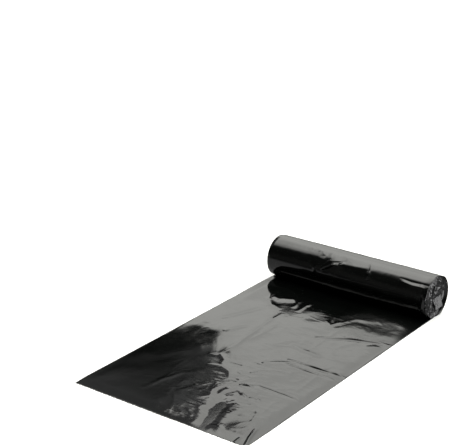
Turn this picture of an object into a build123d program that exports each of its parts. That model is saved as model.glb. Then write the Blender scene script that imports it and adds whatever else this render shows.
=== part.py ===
"""Roll of refuse sacks with the leading sack partly drawn off, in millimetres.

The sacks are one continuous web of black polythene: a lay-flat tube, sealed and perforated at
every sack and folded in half along its length, wound up without a core. Its leading end lies flat
on the floor and the roll rests on it. The web leaves at the roll's foot, so the face that lies on
the floor carries on up the far side of the roll as its outermost turn.

The frame has +X along the roll's axis, +Y from the leading edge towards the roll and +Z up. The
origin is on the floor, at the middle of the footprint.
"""

from build123d import *
import math
import os

# The film
FILM_GAUGE = 0.05  # one wall of the lay-flat tube
LAYERS = 4  # the tube's two walls, folded in half
WEB_WIDTH = 350.0  # half of a 700 mm lay-flat sack, and so the length of the roll
DRAWN_LENGTH = 592.0  # from the middle of the roll's foot to the leading edge

# The winding
ROLL_RADIUS = 40.3  # outside the outermost turn
FOOT_WIDTH = 16.0  # the flat spot that a soft roll settles on

# The hollow that the winding mandrel left, closed up to a bent slit
HOLLOW_HEIGHT = 46.0  # along the slit, end to end
HOLLOW_WIDTH = 9.0  # across the slit
HOLLOW_BOW = 5.0  # how far the slit's middle stands off the line between its ends
HOLLOW_SHIFT = 4.0  # from the roll's axis towards the leading edge, at the slit's ends

NODE = "sack_roll"

web_thickness = FILM_GAUGE * LAYERS
half_foot = FOOT_WIDTH / 2
axis_height = math.sqrt(ROLL_RADIUS**2 - half_foot**2)
footprint_length = DRAWN_LENGTH + ROLL_RADIUS
axis_y = footprint_length / 2 - ROLL_RADIUS
leading_y = axis_y - DRAWN_LENGTH


def outer_turn():
    """Arcs of the outermost turn, from the foot's far edge round to the web's upper face.

    Each arc is smaller than the one before by an equal share of the web's thickness, and their
    centres step round with it, so they meet tangent and the turn closes in by one thickness.
    """
    step = web_thickness / 3
    centre = Vector(axis_y, axis_height)
    radius = ROLL_RADIUS
    start = -math.degrees(math.acos(half_foot / ROLL_RADIUS))
    arcs = []
    for corner, shift in [(0, Vector(1, 0)), (90, Vector(0, 1)), (180, Vector(-1, 0))]:
        arcs.append(CenterArc(centre, radius, start, corner - start))
        centre += shift * step
        radius -= step
        start = corner
    down_to_web = math.degrees(math.asin((centre.Y - web_thickness) / radius))
    arcs.append(CenterArc(centre, radius, start, down_to_web))
    return arcs


def web_outline(turn):
    """Straight edges of the drawn-off web and the foot, which close the outermost turn."""
    floor = Line((leading_y, 0), (axis_y + half_foot, 0))
    leading_edge = Line((leading_y, web_thickness), (leading_y, 0))
    upper_face = Line(turn[-1] @ 1, (leading_y, web_thickness))
    return [floor, *turn, upper_face, leading_edge]


def hollow():
    """Section of the hollow: a slit bent towards the leading edge."""
    reach = (HOLLOW_HEIGHT - HOLLOW_WIDTH) / 2
    ends_y = axis_y - HOLLOW_SHIFT
    spine = ThreePointArc(
        (ends_y, axis_height - reach),
        (ends_y - HOLLOW_BOW, axis_height),
        (ends_y, axis_height + reach),
    )
    return SlotArc(spine, HOLLOW_WIDTH)


def sack_roll():
    """The whole web as one solid: drawn-off length, foot and wound turns."""
    section = make_face(web_outline(outer_turn())) - hollow()
    return extrude(Plane.YZ * section, WEB_WIDTH / 2, both=True)


os.makedirs("parts", exist_ok=True)
solid = sack_roll()
solid.label = NODE
export_step(solid, f"parts/{NODE}.step")
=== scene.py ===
"""A roll of black refuse sacks on a pale floor, its leading sack drawn off and lying flat.

Lengths are in metres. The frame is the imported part's own: +X along the roll's axis, +Y from the
leading edge towards the roll, +Z up, with the floor at height 0. Creases are given on the film as
it lies, in millimetres: across the web from its centre line, and along it from the roll's foot.
"""

import logging
import math
from dataclasses import dataclass, field
from enum import Enum

import bmesh
import bpy
import numpy as np
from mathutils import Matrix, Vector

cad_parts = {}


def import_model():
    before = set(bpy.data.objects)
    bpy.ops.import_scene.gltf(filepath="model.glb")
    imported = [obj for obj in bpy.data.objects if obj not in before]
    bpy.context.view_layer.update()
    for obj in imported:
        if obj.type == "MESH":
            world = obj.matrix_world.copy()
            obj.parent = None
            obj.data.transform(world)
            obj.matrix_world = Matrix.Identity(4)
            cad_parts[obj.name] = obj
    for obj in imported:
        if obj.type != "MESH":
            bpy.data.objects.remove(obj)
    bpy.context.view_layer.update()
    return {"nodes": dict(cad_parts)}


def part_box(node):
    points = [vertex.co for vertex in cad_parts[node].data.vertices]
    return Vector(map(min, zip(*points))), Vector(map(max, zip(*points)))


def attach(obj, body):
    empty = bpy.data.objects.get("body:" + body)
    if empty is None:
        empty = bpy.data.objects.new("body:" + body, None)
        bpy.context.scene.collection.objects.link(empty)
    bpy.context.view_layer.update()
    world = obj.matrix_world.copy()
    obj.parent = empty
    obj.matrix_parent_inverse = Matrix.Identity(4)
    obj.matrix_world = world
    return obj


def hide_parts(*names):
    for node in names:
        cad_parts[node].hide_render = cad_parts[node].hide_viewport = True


LOG = logging.getLogger("sack_roll")
NODE = "sack_roll"
BODY = "root"
MM = 0.001
WEB_HALF = 175.0  # half the width of the web, in millimetres
DRAWN = 592.0  # length of film drawn off, from the roll's foot, in millimetres
FILM_IOR = 1.5  # refractive index of polythene


def smooth(value: np.ndarray, low: float, high: float) -> np.ndarray:
    """Rise smoothly from 0 to 1.

    Args:
        value: Where to read the rise.
        low: The value at which it starts.
        high: The value at which it has reached 1. It may lie below low.

    Returns:
        The rise at each value.
    """
    t = np.clip((value - low) / (high - low), 0.0, 1.0)
    return t * t * (3.0 - 2.0 * t)


@dataclass(frozen=True)
class Zone:
    """A part of the film with soft edges.

    Attributes:
        across: Its edges across the film: each pair is where it begins and where it is full.
        along: Its edges along the film, in the same way.
    """

    across: tuple[tuple[float, float], ...] = ()
    along: tuple[tuple[float, float], ...] = ()

    def read(self, across: np.ndarray, along: np.ndarray) -> np.ndarray:
        """How far places lie inside the zone.

        Args:
            across: Places across the film, in millimetres.
            along: Places along the film, in millimetres.

        Returns:
            Shares from 0 to 1.
        """
        share = np.ones_like(across)
        for begins, full in self.across:
            share *= smooth(across, begins, full)
        for begins, full in self.along:
            share *= smooth(along, begins, full)
        return share


@dataclass(frozen=True)
class Patch:
    """A soft patch of the film, strongest at its centre and fading all round.

    Attributes:
        strength: Its strength at the centre.
        centre: Its centre, (across, along) in millimetres.
        size: How far it reaches, across and along, in millimetres.
    """

    strength: float
    centre: tuple[float, float]
    size: tuple[float, float]

    def read(self, across: np.ndarray, along: np.ndarray) -> np.ndarray:
        """Read the patch.

        Args:
            across: Places across the film, in millimetres.
            along: Places along the film, in millimetres.

        Returns:
            Strengths.
        """
        aside = (across - self.centre[0]) / self.size[0]
        ahead = (along - self.centre[1]) / self.size[1]
        return self.strength * np.exp(-(aside**2) - ahead**2)


class Crumple:
    """Seeded smooth noise over a plane, and the ridged form that crumpled film takes.

    Attributes:
        BEND: How far the ridges are bent, in cells.
        BEND_SCALE: Size of the facets as a share of the bends.
        BEND_SHIFTS: Where in the noise the bends along each coordinate are read.
        FINER: How many times smaller each next size of facet is.
        TURNED: How far it is turned, in radians.
        APART: How far from the last one it is read in the noise, in cells.
        WEAKER: Its height as a share of the last one's.
    """

    BEND = 0.6
    BEND_SCALE = 0.7
    BEND_SHIFTS = ((31.0, 7.0), (3.0, 57.0))
    FINER = 2.1
    TURNED = 0.9
    APART = 11.0
    WEAKER = 0.42

    def __init__(self, seed: int, cells: int = 256) -> None:
        """Draw the lattice values.

        Args:
            seed: Seed of the lattice.
            cells: Cells along each side before the lattice repeats.
        """
        self.cells = cells
        self.lattice = np.random.default_rng(seed).uniform(-1.0, 1.0, (cells, cells))

    def smooth_noise(self, u: np.ndarray, v: np.ndarray) -> np.ndarray:
        """Read the noise.

        Args:
            u: First coordinate, in cells.
            v: Second coordinate, in cells.

        Returns:
            Values from -1 to 1.
        """
        iu = np.floor(u).astype(int)
        iv = np.floor(v).astype(int)
        fu = u - iu
        fv = v - iv
        wu = fu * fu * fu * (fu * (fu * 6.0 - 15.0) + 10.0)
        wv = fv * fv * fv * (fv * (fv * 6.0 - 15.0) + 10.0)
        n = self.cells
        a = self.lattice[iu % n, iv % n]
        b = self.lattice[(iu + 1) % n, iv % n]
        c = self.lattice[iu % n, (iv + 1) % n]
        d = self.lattice[(iu + 1) % n, (iv + 1) % n]
        return (a * (1 - wu) + b * wu) * (1 - wv) + (c * (1 - wu) + d * wu) * wv

    def ridges(self, u: np.ndarray, v: np.ndarray, octaves: int = 3) -> np.ndarray:
        """Read ridged noise: smooth facets that meet in sharp crests.

        Args:
            u: First coordinate, in cells of the largest facets.
            v: Second coordinate, in the same cells.
            octaves: How many sizes of facet to add.

        Returns:
            Heights from about 0 to 1.
        """
        total = np.zeros_like(u)
        size = 1.0
        reach = 0.0
        bend_u, bend_v = (
            self.BEND * self.smooth_noise(u * self.BEND_SCALE + to_u, v * self.BEND_SCALE + to_v)
            for to_u, to_v in self.BEND_SHIFTS
        )
        for octave in range(octaves):
            scale = self.FINER**octave
            turn = self.TURNED * octave
            shift = self.APART * octave
            ru = (u + bend_u) * math.cos(turn) - (v + bend_v) * math.sin(turn)
            rv = (u + bend_u) * math.sin(turn) + (v + bend_v) * math.cos(turn)
            crest = 1.0 - np.abs(self.smooth_noise(ru * scale + shift, rv * scale))
            total += size * crest * crest
            reach += size
            size *= self.WEAKER
        return total / reach


@dataclass(frozen=True)
class Wave:
    """One size of waviness in the film.

    Attributes:
        height: Its height in millimetres.
        size: Size of its cells, across and along, in millimetres.
        shift: Where in the noise it is read, in cells, so that no two waves run together.
        ridges: How many sizes of ridged facet it has. With 0 it is a smooth wave.
    """

    height: float
    size: tuple[float, float]
    shift: tuple[float, float] = (0.0, 0.0)
    ridges: int = 0

    def read(self, noise: Crumple, across: np.ndarray, along: np.ndarray) -> np.ndarray:
        """Read the wave.

        Args:
            noise: The noise that it is made of.
            across: Places across the film, in millimetres.
            along: Places along the film, in millimetres.

        Returns:
            Heights in millimetres.
        """
        u = across / self.size[0] + self.shift[0]
        v = along / self.size[1] + self.shift[1]
        if self.ridges:
            return self.height * noise.ridges(u, v, self.ridges)
        return self.height * noise.smooth_noise(u, v)


class Fold(Enum):
    """How the film stands along a crease."""

    PINCH = 1  # a sharp crest with hollow flanks
    RIPPLE = 2  # a soft wave
    PLEAT = 3  # a standing pleat with straight flanks

    def profile(self, gap: np.ndarray) -> np.ndarray:
        """Height of the fold, as a share of its crest.

        Args:
            gap: Distance from the crest, in spreads of the fold.

        Returns:
            Shares from 0 to 1.
        """
        if self is Fold.PLEAT:
            return np.clip(1.0 - gap, 0.0, 1.0)
        return np.exp(-(gap**self.value))


@dataclass(frozen=True)
class Crease:
    """One crease: a crest along a line of points on the film.

    Attributes:
        BLUNT: How its crest fades to its ends. At 1 it is half a wave, and below 1 it is blunter.
        line: Points of the crest, (across, along) in millimetres.
        height: Height of the crest in millimetres. Below 0 it is a valley.
        spread: Width of each flank, in millimetres.
        fold: Shape of the flanks.
    """

    BLUNT = 0.6

    line: tuple[tuple[float, float], ...]
    height: float
    spread: float
    fold: Fold = Fold.PINCH

    def lift(self, across: np.ndarray, along: np.ndarray) -> np.ndarray:
        """Height that the crease adds to the film.

        Args:
            across: Places across the film, in millimetres.
            along: Places along the film, in millimetres.

        Returns:
            Heights in millimetres.
        """
        lengths = [math.dist(a, b) for a, b in zip(self.line, self.line[1:])]
        total = sum(lengths)
        best = np.full_like(across, np.inf)
        part = np.zeros_like(across)
        done = 0.0
        for (ax, ay), (bx, by), length in zip(self.line, self.line[1:], lengths):
            ux, uy = (bx - ax) / length, (by - ay) / length
            reach = np.clip((across - ax) * ux + (along - ay) * uy, 0.0, length)
            gap = np.hypot(across - ax - reach * ux, along - ay - reach * uy)
            nearer = gap < best
            best = np.where(nearer, gap, best)
            part = np.where(nearer, (done + reach) / total, part)
            done += length
        fade = np.sin(np.pi * np.clip(part, 0.0, 1.0)) ** self.BLUNT
        return self.height * fade * self.fold.profile(best / self.spread)


def lift_of(creases: tuple[Crease, ...], across: np.ndarray, along: np.ndarray) -> np.ndarray:
    """Add up the heights of several creases.

    Args:
        creases: The creases.
        across: Places across the film, in millimetres.
        along: Places along the film, in millimetres.

    Returns:
        Heights in millimetres.
    """
    total = np.zeros_like(across)
    for crease in creases:
        total += crease.lift(across, along)
    return total


class Tree:
    """A short way to wire shader nodes."""

    def __init__(self, tree: bpy.types.NodeTree) -> None:
        """Clear a node tree and keep it.

        Args:
            tree: The tree to fill.
        """
        self.tree = tree
        tree.nodes.clear()

    def add(self, kind: str, **settings: object) -> bpy.types.Node:
        """Add a node and set its properties.

        Args:
            kind: Blender's name for the node type.
            **settings: Properties of the node.

        Returns:
            The node.
        """
        node = self.tree.nodes.new(kind)
        for name, value in settings.items():
            setattr(node, name, value)
        return node

    def join(self, source: bpy.types.NodeSocket, target: bpy.types.NodeSocket) -> None:
        """Link an output to an input."""
        self.tree.links.new(source, target)

    def math(self, operation: str, first: object, second: object = 0.0) -> bpy.types.NodeSocket:
        """Add a math node.

        Args:
            operation: Blender's name of the operation.
            first: A socket or a number.
            second: A socket or a number.

        Returns:
            The result.
        """
        node = self.add("ShaderNodeMath", operation=operation)
        for socket, value in zip(node.inputs, (first, second)):
            if isinstance(value, bpy.types.NodeSocket):
                self.join(value, socket)
            else:
                socket.default_value = value
        return node.outputs[0]

    def mix(
        self,
        share: bpy.types.NodeSocket,
        first: bpy.types.NodeSocket,
        second: bpy.types.NodeSocket,
    ) -> bpy.types.NodeSocket:
        """Mix two shaders.

        Args:
            share: Share of the second.
            first: The first shader.
            second: The second shader.

        Returns:
            The mixed shader.
        """
        node = self.add("ShaderNodeMixShader")
        for socket, source in zip(node.inputs, (share, first, second)):
            self.join(source, socket)
        return node.outputs["Shader"]

    def blend(
        self,
        share: bpy.types.NodeSocket,
        first: tuple[float, float, float],
        second: tuple[float, float, float],
    ) -> bpy.types.NodeSocket:
        """Blend two colours.

        Args:
            share: Share of the second.
            first: The first colour.
            second: The second colour.

        Returns:
            The blended colour.
        """
        node = self.add("ShaderNodeMix", data_type="RGBA")
        self.join(share, node.inputs["Factor"])
        node.inputs["A"].default_value = (*first, 1.0)
        node.inputs["B"].default_value = (*second, 1.0)
        return node.outputs["Result"]

    def noise(self, scale: tuple[float, float, float], detail: float) -> bpy.types.NodeSocket:
        """Add noise in the piece's own coordinates.

        Args:
            scale: Cells for each metre along X, Y and Z.
            detail: Octaves.

        Returns:
            The noise, from 0 to 1.
        """
        place = self.add("ShaderNodeTexCoord")
        stretch = self.add("ShaderNodeMapping")
        stretch.inputs["Scale"].default_value = scale
        self.join(place.outputs["Object"], stretch.inputs["Vector"])
        noise = self.add("ShaderNodeTexNoise", noise_dimensions="3D")
        noise.inputs["Scale"].default_value = 1.0
        noise.inputs["Detail"].default_value = detail
        self.join(stretch.outputs["Vector"], noise.inputs["Vector"])
        return noise.outputs["Fac"]

    def ramp(
        self, value: bpy.types.NodeSocket, start: tuple[float, float], end: tuple[float, float]
    ) -> bpy.types.NodeSocket:
        """Map one range onto another and hold it at both ends.

        Args:
            value: The value to map.
            start: The range it comes from.
            end: The range it goes to.

        Returns:
            The mapped value.
        """
        node = self.add("ShaderNodeMapRange")
        node.inputs["From Min"].default_value, node.inputs["From Max"].default_value = start
        node.inputs["To Min"].default_value, node.inputs["To Max"].default_value = end
        self.join(value, node.inputs["Value"])
        return node.outputs["Result"]

    def spread(
        self, value: bpy.types.NodeSocket, low: float, high: float
    ) -> bpy.types.NodeSocket:
        """Map noise, mostly between 0.3 and 0.7, onto a range.

        Args:
            value: The noise.
            low: Result at 0.3.
            high: Result at 0.7.

        Returns:
            The mapped value.
        """
        return self.ramp(value, (0.3, 0.7), (low, high))

    def bump(
        self,
        height: bpy.types.NodeSocket,
        depth: float,
        below: bpy.types.NodeSocket | None = None,
    ) -> bpy.types.NodeSocket:
        """Add a bump.

        Args:
            height: Height of the relief, from 0 to 1.
            depth: Depth of the relief in metres.
            below: Normal of a coarser bump that this one lies on.

        Returns:
            The bumped normal.
        """
        node = self.add("ShaderNodeBump")
        node.inputs["Strength"].default_value = 1.0
        node.inputs["Distance"].default_value = depth
        self.join(height, node.inputs["Height"])
        if below is not None:
            self.join(below, node.inputs["Normal"])
        return node.outputs["Normal"]


def new_material(name: str) -> tuple[bpy.types.Material, Tree, bpy.types.NodeSocket]:
    """Make an empty material.

    Args:
        name: Name of the material.

    Returns:
        The material, its nodes, and the socket that its shader goes to.
    """
    material = bpy.data.materials.new(name)
    material.use_nodes = True
    tree = Tree(material.node_tree)
    return material, tree, tree.add("ShaderNodeOutputMaterial").inputs["Surface"]


@dataclass(frozen=True)
class BlackFilm:
    """Glossy black polythene, drawn out lengthwise as it was blown.

    Attributes:
        colour: Colour of the polythene, which the gloss hides nearly everywhere.
        bloom: How much paler the polythene is in clouded places.
        cloud_cells: Cells of the clouding for each metre along X, Y and Z.
        gloss: Roughness where the film is cleanest.
        haze: Roughness where it is rubbed.
        rub_cells: Cells of the rubbed streaks for each metre.
        rub_haze: Roughness added where the film has been rubbed most.
        crumple_depth: Depth of the finest crumpling.
        crumple_cells: Cells of the finest crumpling for each metre.
        draw_depth: Depth of the fine lines along the film.
        draw_cells: Cells of the fine lines for each metre.
    """

    colour: tuple[float, float, float] = (0.0007, 0.0009, 0.0008)
    bloom: float = 1.9
    cloud_cells: tuple[float, float, float] = (14.0, 9.0, 9.0)
    gloss: float = 0.055
    haze: float = 0.085
    rub_cells: tuple[float, float, float] = (45.0, 16.0, 16.0)
    rub_haze: float = 0.13
    crumple_depth: float = 0.00003
    crumple_cells: tuple[float, float, float] = (170.0, 120.0, 120.0)
    draw_depth: float = 0.000012
    draw_cells: tuple[float, float, float] = (1400.0, 9.0, 9.0)

    def build(self) -> bpy.types.Material:
        """Make the material.

        Returns:
            The material.
        """
        material, tree, surface = new_material("black_film")
        shader = tree.add("ShaderNodeBsdfPrincipled")
        shader.inputs["IOR"].default_value = FILM_IOR
        tree.join(shader.outputs["BSDF"], surface)

        cloud = tree.spread(tree.noise(self.cloud_cells, 3.0), 0.0, 1.0)
        paler = tuple(self.bloom * c for c in self.colour)
        tree.join(tree.blend(cloud, self.colour, paler), shader.inputs["Base Color"])

        streaks = tree.spread(tree.noise(self.rub_cells, 4.0), self.gloss, self.haze)
        most = tree.add("ShaderNodeAttribute", attribute_name=DrawnSack.RUBBED)
        added = tree.math("MULTIPLY", most.outputs["Fac"], self.rub_haze)
        tree.join(tree.math("ADD", streaks, added), shader.inputs["Roughness"])

        normal = tree.bump(tree.noise(self.crumple_cells, 4.0), self.crumple_depth)
        normal = tree.bump(tree.noise(self.draw_cells, 2.0), self.draw_depth, normal)
        tree.join(normal, shader.inputs["Normal"])
        return material


@dataclass(frozen=True)
class FilmEdges:
    """The cut edges of the wound film, packed turn on turn.

    Attributes:
        dark: Colour between the turns.
        pale: Colour of the stretched and creased edges.
        cloud_cells: Cells of the clouding between the two for each metre along X, Y and Z.
        gloss: Roughness.
        ridge_depth: Depth of the grooves between bundles of turns.
    """

    dark: tuple[float, float, float] = (0.0008, 0.0009, 0.0008)
    pale: tuple[float, float, float] = (0.006, 0.0063, 0.0057)
    cloud_cells: tuple[float, float, float] = (60.0, 130.0, 130.0)
    gloss: float = 0.14
    ridge_depth: float = 0.00022

    def build(self) -> bpy.types.Material:
        """Make the material.

        Returns:
            The material.
        """
        material, tree, surface = new_material("film_edges")
        shader = tree.add("ShaderNodeBsdfPrincipled")
        shader.inputs["IOR"].default_value = FILM_IOR
        shader.inputs["Roughness"].default_value = self.gloss
        tree.join(shader.outputs["BSDF"], surface)

        turns = tree.add("ShaderNodeAttribute", attribute_name=WoundRoll.TURNS)
        streak = tree.add("ShaderNodeTexNoise", noise_dimensions="1D")
        streak.inputs["Scale"].default_value = 1.0
        streak.inputs["Detail"].default_value = 4.0
        tree.join(turns.outputs["Fac"], streak.inputs["W"])
        cloud = tree.noise(self.cloud_cells, 3.0)
        mixed = tree.math("MULTIPLY", tree.spread(streak.outputs["Fac"], 0.0, 1.0), cloud)
        tree.join(tree.blend(mixed, self.dark, self.pale), shader.inputs["Base Color"])
        normal = tree.bump(streak.outputs["Fac"], self.ridge_depth)
        tree.join(normal, shader.inputs["Normal"])
        return material


@dataclass(frozen=True)
class PaleFloor:
    """A plain pale studio floor.

    Attributes:
        colour: Colour of the floor.
    """

    colour: tuple[float, float, float] = (0.84, 0.84, 0.84)

    def build(self) -> bpy.types.Material:
        """Make the material.

        Returns:
            The material.
        """
        material, tree, surface = new_material("pale_floor")
        shader = tree.add("ShaderNodeBsdfDiffuse")
        shader.inputs["Color"].default_value = (*self.colour, 1.0)
        tree.join(shader.outputs["BSDF"], surface)
        return material


@dataclass(frozen=True)
class FlagCloth:
    """Black cloth that glows with painted light in places, and is clear where the mesh reaches
    past it.
    """

    SHADE = "shade"
    LEVEL = "level"

    def build(self) -> bpy.types.Material:
        """Make the material.

        Returns:
            The material.
        """
        material, tree, surface = new_material("flag_cloth")
        clear = tree.add("ShaderNodeBsdfTransparent")
        # the cloth's painted light: an emission as strong as the mesh's level says, seen only in
        # the film
        cloth = tree.add("ShaderNodeEmission")
        level = tree.add("ShaderNodeAttribute", attribute_name=self.LEVEL)
        tree.join(level.outputs["Fac"], cloth.inputs["Strength"])
        shade = tree.add("ShaderNodeAttribute", attribute_name=self.SHADE)
        shaders = (clear.outputs["BSDF"], cloth.outputs["Emission"])
        tree.join(tree.mix(shade.outputs["Fac"], *shaders), surface)
        return material


def mesh_from_grid(
    name: str, points: np.ndarray, wrap_rows: bool, wrap_columns: bool
) -> bpy.types.Mesh:
    """Make a mesh of four-sided faces over a grid of points.

    Args:
        name: Name of the mesh.
        points: Grid of places, rows by columns by 3.
        wrap_rows: Whether the last row joins the first.
        wrap_columns: Whether the last column joins the first.

    Returns:
        The mesh, shaded smooth.
    """
    rows, columns = points.shape[:2]
    index = np.arange(rows * columns).reshape(rows, columns)
    if wrap_rows:
        index = np.vstack([index, index[:1]])
    if wrap_columns:
        index = np.hstack([index, index[:, :1]])
    quads = np.stack(
        [index[:-1, :-1], index[1:, :-1], index[1:, 1:], index[:-1, 1:]], axis=-1
    ).reshape(-1, 4)
    mesh = bpy.data.meshes.new(name)
    mesh.vertices.add(rows * columns)
    mesh.vertices.foreach_set("co", points.reshape(-1).astype(np.float32))
    mesh.loops.add(quads.size)
    mesh.loops.foreach_set("vertex_index", quads.reshape(-1).astype(np.int32))
    mesh.polygons.add(len(quads))
    mesh.polygons.foreach_set("loop_start", np.arange(0, quads.size, 4, dtype=np.int32))
    mesh.polygons.foreach_set("use_smooth", np.ones(len(quads), dtype=bool))
    mesh.update(calc_edges=True)
    mesh.validate()
    return mesh


def place(name: str, mesh: bpy.types.Mesh) -> bpy.types.Object:
    """Put a mesh in the scene.

    Args:
        name: Name of the object.
        mesh: Its mesh.

    Returns:
        The object.
    """
    piece = bpy.data.objects.new(name, mesh)
    bpy.context.scene.collection.objects.link(piece)
    return piece


@dataclass
class Sizes:
    """Where the part lies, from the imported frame.

    Attributes:
        radius: Radius of the roll.
        foot: Half the width of the flat spot that the roll rests on.
        film: Thickness of the four layers of film.
        clear: Least height of the roll above the floor, as a share of that thickness.
        half_width: Half the width of the film, which is half the length of the roll.
        lead: Place of the leading edge along Y.
        axis_y: Place of the roll's axis along Y.
        axis_z: Height of the roll's axis.
    """

    radius: float = 0.0403
    foot: float = 0.008
    film: float = 0.0002
    clear: float = 0.3
    half_width: float = field(init=False)
    lead: float = field(init=False)
    axis_y: float = field(init=False)
    axis_z: float = field(init=False)

    def __post_init__(self) -> None:
        """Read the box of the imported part."""
        low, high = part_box(NODE)
        self.half_width = (high[0] - low[0]) / 2
        self.lead = low[1]
        self.axis_y = high[1] - self.radius
        self.axis_z = math.sqrt(self.radius**2 - self.foot**2)


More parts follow.
